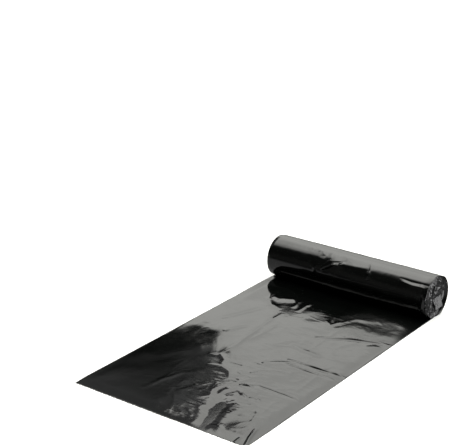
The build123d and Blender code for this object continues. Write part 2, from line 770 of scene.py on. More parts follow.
@dataclass
class DrawnSack:
    """The leading sack, drawn off the roll and laid on the floor.

    Attributes:
        RUBBED: Name of the mesh attribute that says how hazy the film is rubbed.
        sizes: Where the part lies.
        pitch: Size of the mesh's faces.
        under_step: How many times longer the faces of the underside are.
        tooth: Depth of the torn perforation's teeth.
        side_sway: How far the folded sides stray from straight.
        seed: Seed of the sack's noise.
        rest: Mean height of the film above the floor, in millimetres.
        least: Least height of the film above the floor, in millimetres.
        arch_height: Height of the arch just ahead of the roll, in millimetres.
        arch_taut: How much lower the arch is where the film is taut.
        arch_crest: Place of the arch's crest along the film.
        arch_reach: How far the arch reaches from its crest.
        arch_draw: How much nearer and shorter the arch is on the right.
        arch_right: Where it is so.
        arch_left: Where the taut part of the arch begins on the left.
        border: Width of the border that lies down on the floor, in millimetres.
        border_keeps: Share of its height that the left edge keeps, and how much less the right.
        border_right: Where the one goes over to the other.
        under_roll: Where the film lies flat under the roll.
        slack: The slack right side, which is the more creased.
        calm: The tauter front corner of it.
        calm_share: How much tauter that corner is.
        near_roll: The crumpled part near the roll.
        gripped: Where the sack was gripped.
        billows: The broad waves of the film.
        facets: Its crumpling.
        facet_share: Share of the crumpling where the film is taut, and how much more where slack.
        chatter: The fine ripples across its slack right side.
        grip: The crumpling where the sack was gripped.
        near: The crumpling near the roll.
        drift: How far creases wander across the film.
        sway: How far creases wander along the film.
        rise: How much creases rise and fall, as a share.
        arch_wave: How much the arch rises and falls.
        border_wave: How much the border's width comes and goes.
        torn: Width of the torn edge's uneven strip.
        tear_wander: How far the tear wanders, in teeth, and over what length, in millimetres.
        folded: Width of the folded sides' uneven strips.
        side_cell: Length over which the sides stray, in millimetres.
        side_shift: Where in the noise the right side is read, in cells. The left side is read
            as far the other way.
        side_draw: How far the pleat draws the right edge in, and how far the film spreads
            beyond it as it leaves the roll.
        pleat: The place of that pleat along the film, and its reach.
        right_edge: The strip by the right edge that the pleat draws in.
        spreading: The part of the film that spreads.
        dragged: Where the film is rubbed from being dragged off the roll.
        rubs: Where it is rubbed from being gripped, and from sticking on its way off the roll.
        creases: The creases of the film.
        edge_creases: Creases that stand up right at the edges.
    """

    RUBBED = "rubbed"

    sizes: Sizes
    pitch: float = 0.0016
    under_step: int = 6
    tooth: float = 0.0005
    side_sway: float = 0.0009
    seed: int = 11
    rest: float = 0.9
    least: float = 0.05
    arch_height: float = 4.4
    arch_taut: float = 2.2
    arch_crest: float = -78.0
    arch_reach: float = 46.0
    arch_draw: float = 12.0
    arch_right: Zone = Zone(across=((30.0, 90.0),))
    arch_left: Zone = Zone(across=((-124.0, -96.0),))
    border: float = 24.0
    border_keeps: tuple[float, float] = (0.25, 0.2)
    border_right: Zone = Zone(across=((-60.0, 60.0),))
    under_roll: Zone = Zone(along=((-36.0, -12.0),))
    slack: Zone = Zone(across=((-70.0, 40.0),))
    calm: Zone = Zone(across=((88.0, 108.0),), along=((-505.0, -530.0),))
    calm_share: float = 0.7
    near_roll: Zone = Zone(across=((60.0, -60.0),), along=((-190.0, -120.0),))
    gripped: Patch = Patch(1.0, (52.0, -462.0), (44.0, 52.0))
    billows: tuple[Wave, ...] = (
        Wave(0.8, (85.0, 110.0), (9.0, 4.0)),
        Wave(0.3, (34.0, 47.0), (2.0, 8.0)),
    )
    facets: Wave = Wave(1.0, (46.0, 58.0), (5.0, 1.0), 2)
    facet_share: tuple[float, float] = (0.2, 0.5)
    chatter: Wave = Wave(0.22, (30.0, 12.0), (9.0, 3.0), 2)
    grip: Wave = Wave(1.3, (27.0, 33.0), ridges=2)
    near: Wave = Wave(0.35, (42.0, 44.0), (3.0, 0.0), 2)
    drift: Wave = Wave(2.0, (42.0, 42.0), (40.0, 12.0))
    sway: Wave = Wave(2.0, (42.0, 42.0), (73.0, 31.0))
    rise: Wave = Wave(0.15, (19.0, 19.0), (17.0, 5.0))
    arch_wave: Wave = Wave(1.0, (90.0, 200.0))
    border_wave: Wave = Wave(9.0, (45.0, 45.0), (21.0, 66.0))
    torn: float = 0.004
    tear_wander: tuple[float, float] = (2.0, 60.0)
    folded: float = 0.03
    side_cell: float = 35.0
    side_shift: float = 5.0
    side_draw: tuple[float, float] = (0.0022, 0.0018)
    pleat: tuple[float, float] = (-305.0, 5.0)
    right_edge: Zone = Zone(across=((150.0, WEB_HALF),))
    spreading: Zone = Zone(across=((150.0, WEB_HALF),), along=((-190.0, -110.0), (10.0, -10.0)))
    dragged: Zone = Zone(across=((25.0, 75.0),), along=((-185.0, -150.0), (-25.0, -60.0)))
    rubs: tuple[Patch, ...] = (
        Patch(0.4, (-5.0, -430.0), (50.0, 75.0)),
        Patch(0.35, (-68.0, -115.0), (50.0, 45.0)),
    )
    creases: tuple[Crease, ...] = (
        # the long crease of the folded tube, left of the middle
        Crease(((-48, -365), (-45, -312), (-52, -244), (-55, -160)), 1.2, 5),
        Crease(((-38, -290), (-36, -250), (-30, -205)), 0.8, 4),
        # the pleat that runs in from the right edge
        Crease(((192, -307), (122, -312), (58, -315)), 4.0, 3.6, Fold.PLEAT),
        Crease(((174, -328), (110, -330), (60, -330)), 3.3, 3.5, Fold.PLEAT),
        Crease(((84, -314), (60, -328), (30, -350)), 1.4, 4),
        # the crease nearer the roll, and the short one behind it
        Crease(((186, -154), (144, -168), (104, -181), (48, -210)), 4.3, 4.3, Fold.PLEAT),
        Crease(((178, -174), (158, -181), (140, -190)), 0.9, 4),
        # two ripples that catch the light just ahead of the roll
        Crease(((46, -142), (57, -131), (72, -106), (110, -97)), 0.75, 6, Fold.RIPPLE),
        Crease(((112, -84), (140, -80), (180, -84)), 0.45, 7, Fold.RIPPLE),
        # the broad dark hollow in front of them
        Crease(((56, -146), (80, -142), (120, -134), (186, -122)), 1.2, 19, Fold.RIPPLE),
        # loops and strokes left of the middle, where the film came off the roll
        Crease(((-112, -110), (-92, -110), (-60, -94)), 1.7, 9, Fold.RIPPLE),
        Crease(((-118, -96), (-112, -122), (-94, -139), (-68, -149)), 0.9, 7, Fold.RIPPLE),
        Crease(((-54, -132), (-57, -106), (-52, -86)), 1.2, 4, Fold.RIPPLE),
        Crease(((-38, -142), (-38, -112), (-30, -92)), 1.0, 4, Fold.RIPPLE),
        Crease(((26, -138), (46, -154), (53, -128)), 0.9, 4),
        # soft creases across the middle
        Crease(((30, -262), (62, -268), (104, -270)), 0.75, 6, Fold.RIPPLE),
        Crease(((34, -390), (66, -372), (98, -354)), 1.0, 6, Fold.RIPPLE),
        Crease(((50, -436), (82, -424), (162, -426)), 2.4, 3.6),
        Crease(((-96, -286), (-84, -262), (-74, -240)), 0.6, 5, Fold.RIPPLE),
        Crease(((-134, -244), (-109, -189), (-100, -155)), 0.6, 6, Fold.RIPPLE),
        # small hard dents
        Crease(((48, -436), (62, -431), (75, -432)), 3.2, 4, Fold.PLEAT),
        Crease(((66, -458), (87, -466)), 2.6, 3.4, Fold.PLEAT),
        Crease(((88, -462), (108, -459)), 2.6, 3.4, Fold.PLEAT),
        # hooks of film where the sack was gripped
        Crease(((-62, -378), (-44, -366), (-26, -378), (-20, -396)), 0.8, 4),
        Crease(((-40, -408), (-14, -402), (8, -412), (20, -430)), 0.8, 5),
        # the leading edge
        Crease(((96, -562), (118, -584), (142, -597)), 0.8, 7, Fold.RIPPLE),
        # lengthwise creases at the leading end
        Crease(((58, -480), (68, -530), (90, -600)), -1.7, 12, Fold.RIPPLE),
        Crease(((-72, -545), (-66, -500), (-56, -455)), 0.35, 5, Fold.RIPPLE),
        Crease(((-20, -520), (-5, -480), (5, -450)), 0.35, 6, Fold.RIPPLE),
    )
    edge_creases: tuple[Crease, ...] = (
        # the pleat's end at the right edge, and the leading edge's right corner
        Crease(((181, -309), (148, -312)), 1.6, 3.5, Fold.PLEAT),
        Crease(((154, -602), (152, -574)), 1.6, 3.5, Fold.PLEAT),
        Crease(((172, -590), (163, -566), (156, -536)), 2.0, 4.0, Fold.PLEAT),
    )

    def relief(self, noise: Crumple, across: np.ndarray, along: np.ndarray) -> np.ndarray:
        """Height of the film's waves and crumpling, before its creases.

        Args:
            noise: The sack's noise.
            across: Places across the film, in millimetres.
            along: Places along the film, in millimetres.

        Returns:
            Heights in millimetres.
        """
        total = np.full_like(across, self.rest)
        for billow in self.billows:
            total += billow.read(noise, across, along)
        slack = self.slack.read(across, along)
        slack *= 1.0 - self.calm_share * self.calm.read(across, along)
        taut_share, slack_share = self.facet_share
        facets = self.facets.read(noise, across, along)
        total += (taut_share + slack_share * slack) * facets
        total += slack * self.chatter.read(noise, across, along)
        total += self.gripped.read(across, along) * self.grip.read(noise, across, along)
        return total + self.near_roll.read(across, along) * self.near.read(noise, across, along)

    def creased(self, noise: Crumple, across: np.ndarray, along: np.ndarray) -> np.ndarray:
        """Height of the creases, which wander and rise and fall a little.

        Args:
            noise: The sack's noise.
            across: Places across the film, in millimetres.
            along: Places along the film, in millimetres.

        Returns:
            Heights in millimetres.
        """
        drift = self.drift.read(noise, across, along)
        sway = self.sway.read(noise, across, along)
        rise = 1.0 + self.rise.read(noise, across, along)
        return rise * lift_of(self.creases, across + drift, along + sway)

    def arched(self, noise: Crumple, across: np.ndarray, along: np.ndarray) -> np.ndarray:
        """Height of the arch ahead of the roll, where the film still holds some of its curl.

        Args:
            noise: The sack's noise.
            across: Places across the film, in millimetres.
            along: Places along the film, in millimetres.

        Returns:
            Heights in millimetres.
        """
        right = self.arch_right.read(across, along)
        taut = self.arch_left.read(across, along) * (1.0 - right)
        height = self.arch_height - self.arch_taut * taut
        height += self.arch_wave.read(noise, across, along)
        crest = self.arch_crest + self.arch_draw * right
        reach = self.arch_reach - self.arch_draw * right
        return height * np.exp(-(((along - crest) / reach) ** 2))

    def settled(self, noise: Crumple, across: np.ndarray, along: np.ndarray) -> np.ndarray:
        """Share of its height that the film keeps, as its edges lie down on the floor.

        Args:
            noise: The sack's noise.
            across: Places across the film, in millimetres.
            along: Places along the film, in millimetres.

        Returns:
            Shares from 0 to 1.
        """
        keeps, less = self.border_keeps
        held = keeps - less * self.border_right.read(across, along)
        border = self.border + self.border_wave.read(noise, across, along)
        inner = smooth((WEB_HALF - np.abs(across)) / border, 0.0, 1.0)
        inner *= smooth((DRAWN + along) / border, 0.0, 1.0)
        return held + (1.0 - held) * inner

    def lift(self, across: np.ndarray, along: np.ndarray) -> np.ndarray:
        """Height of the film's underside above the floor.

        Args:
            across: Places across the film, in millimetres.
            along: Places along the film from the roll's foot, in millimetres, below 0.

        Returns:
            Heights in millimetres.
        """
        noise = Crumple(self.seed)
        total = self.relief(noise, across, along)
        total += self.creased(noise, across, along)
        total += self.arched(noise, across, along)
        total *= self.settled(noise, across, along)
        total += lift_of(self.edge_creases, across, along)
        return np.maximum(total, self.least) * (1.0 - self.under_roll.read(across, along))

    def trimmed(
        self, x: np.ndarray, y: np.ndarray, across: np.ndarray, along: np.ndarray
    ) -> tuple[np.ndarray, np.ndarray]:
        """Move the torn edge and the folded sides off their straight lines.

        Args:
            x: Places along X.
            y: Places along Y.
            across: The same places across the film, in millimetres.
            along: The same places along the film, in millimetres.

        Returns:
            The moved places along X and along Y.
        """
        s = self.sizes
        noise = Crumple(self.seed + 1)
        teeth = np.random.default_rng(self.seed).uniform(-1.0, 1.0, len(x))[:, None]
        far, cell = self.tear_wander
        wander = far * noise.smooth_noise(across / cell, np.zeros_like(across))
        at_lead = smooth(y - s.lead, self.torn, 0.0)
        y = y + at_lead * (self.tooth * teeth + self.tooth * wander)
        side = np.sign(x) * smooth(np.abs(x), s.half_width - self.folded, s.half_width)
        read_at = np.sign(across) * self.side_shift
        stray = noise.smooth_noise(along / self.side_cell, read_at)
        x = x + side * self.side_sway * stray
        drawn_in, spread_by = self.side_draw
        at, reach = self.pleat
        pleat = np.exp(-(((along - at) / reach) ** 2)) * self.right_edge.read(across, along)
        spread = self.spreading.read(across, along)
        return x - drawn_in * pleat + spread_by * spread, y

    def rubbing(self, across: np.ndarray, along: np.ndarray) -> np.ndarray:
        """How much the film is rubbed.

        Args:
            across: Places across the film, in millimetres.
            along: Places along the film, in millimetres.

        Returns:
            Shares from 0 to about 1.
        """
        return self.dragged.read(across, along) + sum(r.read(across, along) for r in self.rubs)

    def build(self, film: bpy.types.Material) -> bpy.types.Object:
        """Make the sheet and dress it.

        Args:
            film: The film's material.

        Returns:
            The sheet.
        """
        s = self.sizes
        length = s.axis_y + s.foot - s.lead
        columns = round(2 * s.half_width / self.pitch) + 1
        rows = round(length / self.pitch) + 1
        side_to_side = np.linspace(-s.half_width, s.half_width, columns)
        end_to_end = np.linspace(s.lead, s.axis_y + s.foot, rows)
        x, y = np.meshgrid(side_to_side, end_to_end, indexing="ij")
        across = x / MM
        along = (y - s.axis_y) / MM
        height = self.lift(across, along) * MM
        x, y = self.trimmed(x, y, across, along)
        top = np.stack([x, y, height + s.film], axis=-1)
        # one closed skin: up over the upper face and back along a coarser underside
        step = self.under_step
        turned = [*range(rows - 1, 0, -step), 0]
        under = [height[:, max(i - step, 0) : i + step + 1].min(axis=1) for i in turned]
        bottom = np.stack([x[:, turned], y[:, turned], np.stack(under, axis=1)], axis=-1)
        mesh = mesh_from_grid("drawn_sack", np.concatenate([top, bottom], axis=1), False, True)
        clean = np.zeros((columns, len(turned)))
        rubbed = np.concatenate([self.rubbing(across, along), clean], axis=1)
        layer = mesh.attributes.new(self.RUBBED, "FLOAT", "POINT")
        layer.data.foreach_set("value", rubbed.reshape(-1).astype(np.float32))
        piece = place("drawn_sack", mesh)
        self.close_sides(mesh, columns, rows + len(turned))
        mesh.materials.append(film)
        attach(piece, BODY)
        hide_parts(NODE)
        return piece

    @staticmethod
    def close_sides(mesh: bpy.types.Mesh, columns: int, around: int) -> None:
        """Close the two long sides, where the upper face and the underside end.

        Args:
            mesh: The skin.
            columns: Points across the film.
            around: Points in each loop over and under it.
        """
        work = bmesh.new()
        work.from_mesh(mesh)
        work.verts.ensure_lookup_table()
        for column in (0, columns - 1):
            work.faces.new(work.verts[column * around : (column + 1) * around])
        bmesh.ops.recalc_face_normals(work, faces=work.faces)
        for face in work.faces:
            face.smooth = True
        work.to_mesh(mesh)
        work.free()


@dataclass(frozen=True)
class Ring:
    """One ring of points round the roll.

    Attributes:
        x: Places along the axis.
        out: Distances from the axis towards the leading edge.
        up: Heights above the axis.
        turn: Which turn of film each point is on, counted from the hollow.
        wound: Whether the faces up to the next ring show the wound edges of the film.
    """

    x: np.ndarray
    out: np.ndarray
    up: np.ndarray
    turn: np.ndarray
    wound: bool

    def points(self, sizes: Sizes) -> np.ndarray:
        """Places of the points, kept off the floor.

        Args:
            sizes: Where the part lies.

        Returns:
            Places, points by 3.
        """
        height = np.maximum(sizes.axis_z + self.up, sizes.clear * sizes.film)
        return np.stack([self.x, sizes.axis_y - self.out, height], axis=-1)


@dataclass
class WoundRoll:
    """The wound turns: the outermost turn, both ends and the closed-up hollow.

    Places round the roll are given as the distance over its front from its top, in millimetres,
    so that creases are laid out on the film as on the drawn-off sack.

    Attributes:
        TURNS: Name of the mesh attribute that numbers the turns of film.
        sizes: Where the part lies.
        around: Points round each turn.
        along: Points along the outermost turn.
        end_rings: Rings on each end.
        tunnel_rings: Rings along the hollow.
        turns: How many turns of film show on an end.
        bundles: How many bundles those turns lie in.
        slit_half: Half the height of the hollow between the centres of its round ends.
        slit_radius: Half the width of the hollow.
        slit_bow: How far the hollow bends.
        slit_shift: How far the hollow lies ahead of the axis.
        seed: Seed of the roll's noise.
        rest: Mean height of the outermost turn above the true cylinder, in millimetres.
        waves: The waves of the outermost turn.
        patch: The puckered patch.
        pucker: The crumpling round it.
        facets: The upright facets of the film drawn over the right end.
        facet_depth: Their depth in millimetres, and the share of it that is level with the roll.
        drawn_over: Where they are.
        corner: Where that film rounds off the roll's corner.
        corner_end: The stretch along the roll over which it does.
        corner_drop: How far the corner is drawn in, in millimetres.
        shoulder_end: The stretch along the roll over which its left shoulder is drawn in.
        shoulder_drop: How far it is drawn in, in millimetres.
        hollows: How far the ends stand in, and how much that comes and goes by bundle of turns
            and by turn, in millimetres.
        bundle_cells: Cells of the bundles' coming and going for each radian round the end.
        mottle: The crumpling of the ends.
        pleats: The pleats of the film drawn over the right end.
        pleated: Where that film lies on the end, (ahead of the axis, above it).
        pleat_fall: How far it stands in at its inner edge, where that is, and how fast it falls
            away to the roll's side.
        facet: Where one broad facet leans out of the right end.
        facet_lean: How far it stands in level with the axis, and how fast that grows upwards.
        left_bulge: How far the left end's rim stands out, in millimetres.
        bulge: How far the right end's rim stands out behind and ahead, in millimetres. Below 0
            it stands in.
        bulge_places: Where it does so fully behind, not at all, and fully ahead, from the axis.
        rim_depth: How far the rims stand in before that, in millimetres.
        rim_start: Share of the way from the hollow to the outermost turn where a rim begins.
        lip_depth: How far the turns fall away into the hollow, in millimetres.
        lip_end: Share of that way where they do so no more.
        over_end: How far along the roll and ahead of its axis that film begins.
        creases: The creases of the outermost turn.
        end_creases: The creases of the right end, (ahead of the axis, above it).
    """

    TURNS = "turns"

    sizes: Sizes
    around: int = 216
    along: int = 282
    end_rings: int = 62
    tunnel_rings: int = 16
    turns: float = 90.0
    bundles: float = 24.0
    slit_half: float = 0.0185
    slit_radius: float = 0.0032
    slit_bow: float = 0.005
    slit_shift: float = 0.004
    seed: int = 5
    rest: float = 0.5
    waves: tuple[Wave, ...] = (
        Wave(0.4, (60.0, 42.0), (4.0, 2.0)),
        Wave(0.14, (22.0, 30.0), (1.0, 6.0)),
        Wave(0.1, (110.0, 5.0), (7.0, 3.0)),
        Wave(0.25, (40.0, 34.0), ridges=3),
    )
    patch: Patch = Patch(1.0, (-35.0, 28.0), (42.0, 18.0))
    pucker: Wave = Wave(0.8, (20.0, 17.0), (5.0, 0.0), 3)
    facets: Wave = Wave(1.0, (9.0, 26.0), (2.0, 0.0), 3)
    facet_depth: tuple[float, float] = (3.0, 0.6)
    drawn_over: Zone = Zone(across=((146.0, 164.0),), along=((24.0, 44.0), (112.0, 92.0)))
    corner: Zone = Zone(along=((2.0, 30.0), (112.0, 92.0)))
    corner_end: tuple[float, float] = (160.0, 176.0)
    corner_drop: float = 4.0
    shoulder_end: tuple[float, float] = (-167.0, -WEB_HALF)
    shoulder_drop: float = 0.9
    hollows: tuple[float, float, float] = (1.4, 0.7, 0.35)
    bundle_cells: float = 1.1
    mottle: Wave = Wave(3.2, (12.0, 17.0), (20.0, 20.0), 3)
    pleats: Wave = Wave(2.6, (7.0, 30.0), (3.0, 9.0), 2)
    pleated: Zone = Zone(across=((15.0, 22.0),))
    pleat_fall: tuple[float, float, float] = (1.0, 16.0, 0.25)
    facet: Zone = Zone(across=((4.0, 0.0), (-29.0, -25.0)), along=((-2.0, -6.0), (-31.0, -26.0)))
    facet_lean: tuple[float, float] = (6.0, 0.32)
    left_bulge: float = 1.0
    bulge: tuple[float, float] = (4.0, -6.0)
    bulge_places: tuple[float, float, float] = (-20.0, 14.0, 36.0)
    rim_depth: float = 0.4
    rim_start: float = 0.9
    lip_depth: float = 5.0
    lip_end: float = 0.1
    over_end: tuple[float, float] = (0.1, 0.016)
    creases: tuple[Crease, ...] = (
        # the puckered patch left of the middle, over the front of the top
        Crease(((-24, 36), (-36, 44), (-51, 52)), 3.2, 3.0, Fold.PLEAT),
        Crease(((-38, 26), (-54, 44)), -1.2, 3.0),
        Crease(((-70, 20), (-62, 15), (-54, 24)), 0.8, 3.0),
        Crease(((-63, 44), (-68, 66)), 1.7, 3.0),
        Crease(((-36, 40), (-17, 38), (-3, 30)), 1.6, 4.0),
        Crease(((-32, 34), (-18, 31), (-4, 24)), -1.3, 2.6),
        Crease(((-32, 33), (-12, 34), (18, 32), (46, 27)), 1.3, 7, Fold.RIPPLE),
        # the small upright pucker
        Crease(((46, 15), (51, 30), (51, 44)), 1.4, 3.0),
        Crease(((47, 33), (52, 40), (52, 50)), 1.6, 4.0, Fold.RIPPLE),
        # the fold that runs out to the right end
        Crease(((118, 34), (142, 37), (174, 36)), 1.7, 3.2),
        Crease(((112, 28), (138, 31), (174, 29)), -1.1, 2.6),
        Crease(((130, 75), (150, 74), (170, 73)), 1.0, 4.0),
    )
    end_creases: tuple[Crease, ...] = (
        # the edge of the film that is drawn over the right end, standing upright on it
        Crease(((20, 36), (16, 0), (12, -36)), 3.4, 3.5),
        Crease(((4, 30), (0, 12), (2, 2)), 1.8, 3.5),
        Crease(((-20, 28), (-22, 12), (-21, 0)), 2.0, 3.5),
    )

    def outline(self, angle: np.ndarray) -> tuple[np.ndarray, np.ndarray]:
        """Section of the roll, from its top over its front.

        Args:
            angle: Angles from the top, towards the leading edge.

        Returns:
            Distances from the axis towards the leading edge, and heights above the axis.
        """
        s = self.sizes
        return s.radius * np.sin(angle), np.maximum(s.radius * np.cos(angle), -s.axis_z)

    def slit(self, part: np.ndarray) -> tuple[np.ndarray, np.ndarray]:
        """Section of the hollow, a bent slit.

        Args:
            part: Share of the way round, from the top over the front.

        Returns:
            Distances from the axis towards the leading edge, and heights above the axis.
        """
        a, r = self.slit_half, self.slit_radius
        cap = math.pi * r / 2
        total = 4 * cap + 4 * a
        run = np.mod(part, 1.0) * total
        run_half = np.where(run > total / 2, total - run, run)
        side = np.where(run > total / 2, -1.0, 1.0)
        at_top = np.clip(run_half, 0.0, cap) / r
        straight = np.clip(run_half - cap, 0.0, 2 * a)
        at_foot = np.clip(run_half - cap - 2 * a, 0.0, cap) / r
        out = side * r * np.where(run_half < cap + 2 * a, np.sin(at_top), np.cos(at_foot))
        up = np.where(
            run_half < cap, a + r * np.cos(at_top), a - straight - r * np.sin(at_foot)
        )
        bow = self.slit_bow * (1.0 - (np.clip(up / a, -1.0, 1.0)) ** 2)
        return out + self.slit_shift + bow, up

    def skin(self, across: np.ndarray, over: np.ndarray) -> np.ndarray:
        """How far the outermost turn stands off the true cylinder.

        Args:
            across: Places along the axis, in millimetres.
            over: Places over the front from the top, in millimetres.

        Returns:
            Heights in millimetres.
        """
        noise = Crumple(self.seed)
        total = np.full_like(across, self.rest)
        for wave in self.waves:
            total += wave.read(noise, across, over)
        total += self.patch.read(across, over) * self.pucker.read(noise, across, over)
        # the film's edge is drawn over the right end, which puckers it into upright facets
        depth, level = self.facet_depth
        puckered = depth * self.drawn_over.read(across, over)
        total += puckered * (self.facets.read(noise, across, over) - level)
        total += lift_of(self.creases, across, over)
        # and rounds off the corner there
        corner = self.corner_drop * self.corner.read(across, over)
        total -= corner * smooth(across, *self.corner_end) ** 2
        # the left shoulder is drawn in a little by the slack of the turns below
        return total - self.shoulder_drop * smooth(across, *self.shoulder_end) ** 2

    def recess(
        self, front: np.ndarray, up: np.ndarray, share: float, angle: np.ndarray, end: int
    ) -> np.ndarray:
        """How far an end stands in from the roll's full width.

        Args:
            front: Distances from the axis towards the leading edge, in millimetres.
            up: Heights above the axis, in millimetres.
            share: Share of the way from the hollow to the outermost turn.
            angle: Angles from the top over the front.
            end: 1 for the right end and 0 for the left.

        Returns:
            Depths in millimetres.
        """
        noise = Crumple(self.seed + 2 + end)
        turn = share * self.bundles + angle / (2 * math.pi)
        mean, by_bundle, by_turn = self.hollows
        depth = mean + by_bundle * noise.smooth_noise(turn, angle * self.bundle_cells)
        depth += by_turn * (0.5 - 0.5 * np.cos(2 * math.pi * turn))
        depth += self.mottle.read(noise, front, up)
        bulge = self.left_bulge
        if end:
            # the film drawn over the front of the end falls away to the roll's side in pleats
            inner, begins, fall = self.pleat_fall
            pleated = inner + fall * (front - begins) + self.pleats.read(noise, front, up)
            depth += self.pleated.read(front, up) * (pleated - depth)
            depth -= lift_of(self.end_creases, front, up)
            # one broad facet leans out low down on the far side
            level, lean = self.facet_lean
            depth += self.facet.read(front, up) * (level + lean * up - depth)
            behind, ahead = self.bulge
            far, none, near = self.bulge_places
            bulge = behind * smooth(front, none, far) + ahead * smooth(front, none, near)
        rim = smooth(share, self.rim_start, 1.0)
        depth = depth * (1.0 - rim) + (self.rim_depth - bulge) * rim
        # the turns fall away into the hollow
        lip = smooth(share, self.lip_end, 0.0)
        return depth + self.lip_depth * lip * lip

    def turn_at(self, angle: np.ndarray, across: float) -> tuple[np.ndarray, np.ndarray]:
        """Section of the outermost turn at one place along the axis.

        Args:
            angle: Angles from the top, over the front.
            across: The place, in millimetres.

        Returns:
            Distances from the axis towards the leading edge, and heights above the axis.
        """
        radius = self.sizes.radius
        over = np.where(angle > math.pi, angle - 2 * math.pi, angle) * radius / MM
        off = self.skin(np.full_like(over, across), over) * MM
        grown = (radius + off) / radius
        out, up = self.outline(angle)
        return out * grown, up * grown

    def end_face(self, angle: np.ndarray, end: int) -> list[Ring]:
        """Rings of one end, from the hollow to the outermost turn.

        Args:
            angle: Angles from the top, over the front.
            end: 1 for the right end and 0 for the left.

        Returns:
            The rings.
        """
        sign = 1.0 if end else -1.0
        rim_out, rim_up = self.turn_at(angle, sign * WEB_HALF)
        slit_out, slit_up = self.slit(angle / (2 * math.pi))
        rings = []
        for share in np.linspace(0.0, 1.0, self.end_rings):
            out = slit_out + (rim_out - slit_out) * share
            up = slit_up + (rim_up - slit_up) * share
            deep = self.recess(out / MM, up / MM, share, angle, end) * MM
            x = sign * (self.sizes.half_width - deep)
            rings.append(Ring(x, out, up, share * self.turns + angle / (2 * math.pi), True))
        return rings

    def outermost(self, angle: np.ndarray) -> list[Ring]:
        """Rings of the outermost turn, from right to left.

        Args:
            angle: Angles from the top, over the front.

        Returns:
            The rings.
        """
        half = self.sizes.half_width
        last = np.full_like(angle, self.turns)
        return [
            Ring(np.full_like(angle, x), *self.turn_at(angle, x / MM), last, False)
            for x in np.linspace(half, -half, self.along + 2)[1:-1]
        ]

    def tunnel(self, angle: np.ndarray, left: np.ndarray, right: np.ndarray) -> list[Ring]:
        """Rings along the hollow, from left to right.

        Args:
            angle: Angles from the top, over the front.
            left: Where the hollow meets the left end, along the axis.
            right: Where it meets the right end.

        Returns:
            The rings.
        """
        slit = self.slit(angle / (2 * math.pi))
        shares = np.linspace(0.0, 1.0, self.tunnel_rings + 2)[1:-1]
        first = np.zeros_like(angle)
        return [Ring(left + (right - left) * share, *slit, first, True) for share in shares]

    def build(self, film: bpy.types.Material, edges: bpy.types.Material) -> bpy.types.Object:
        """Make the roll and dress it.

        Args:
            film: The film's material.
            edges: Material of the wound edges.

        Returns:
            The roll.
        """
        s = self.sizes
        angle = np.linspace(0.0, 2 * math.pi, self.around, endpoint=False)
        right = self.end_face(angle, 1)
        left = self.end_face(angle, 0)
        rings = [*right, *self.outermost(angle), *reversed(left)]
        rings += self.tunnel(angle, left[0].x, right[0].x)
        grid = np.stack([ring.points(s) for ring in rings])
        mesh = mesh_from_grid("wound_roll", grid, True, True)
        mesh.materials.append(film)
        mesh.materials.append(edges)
        wound = np.array([ring.wound for ring in rings], dtype=np.int32)
        # the faces that turn the corner from the right end are film
        wound[self.end_rings - 1] = 0
        faces = np.repeat(wound, self.around)
        # the film that is drawn over the front of the right end is the same black gloss
        centres = np.empty(len(mesh.polygons) * 3)
        mesh.polygons.foreach_get("center", centres)
        centres = centres.reshape(-1, 3)
        from_x, ahead = self.over_end
        faces[(centres[:, 0] > from_x) & (s.axis_y - centres[:, 1] > ahead)] = 0
        mesh.polygons.foreach_set("material_index", faces)
        numbers = mesh.attributes.new(self.TURNS, "FLOAT", "POINT")
        counted = np.concatenate([ring.turn for ring in rings])
        numbers.data.foreach_set("value", counted.astype(np.float32))
        piece = place("wound_roll", mesh)
        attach(piece, BODY)
        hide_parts(NODE)
        return piece


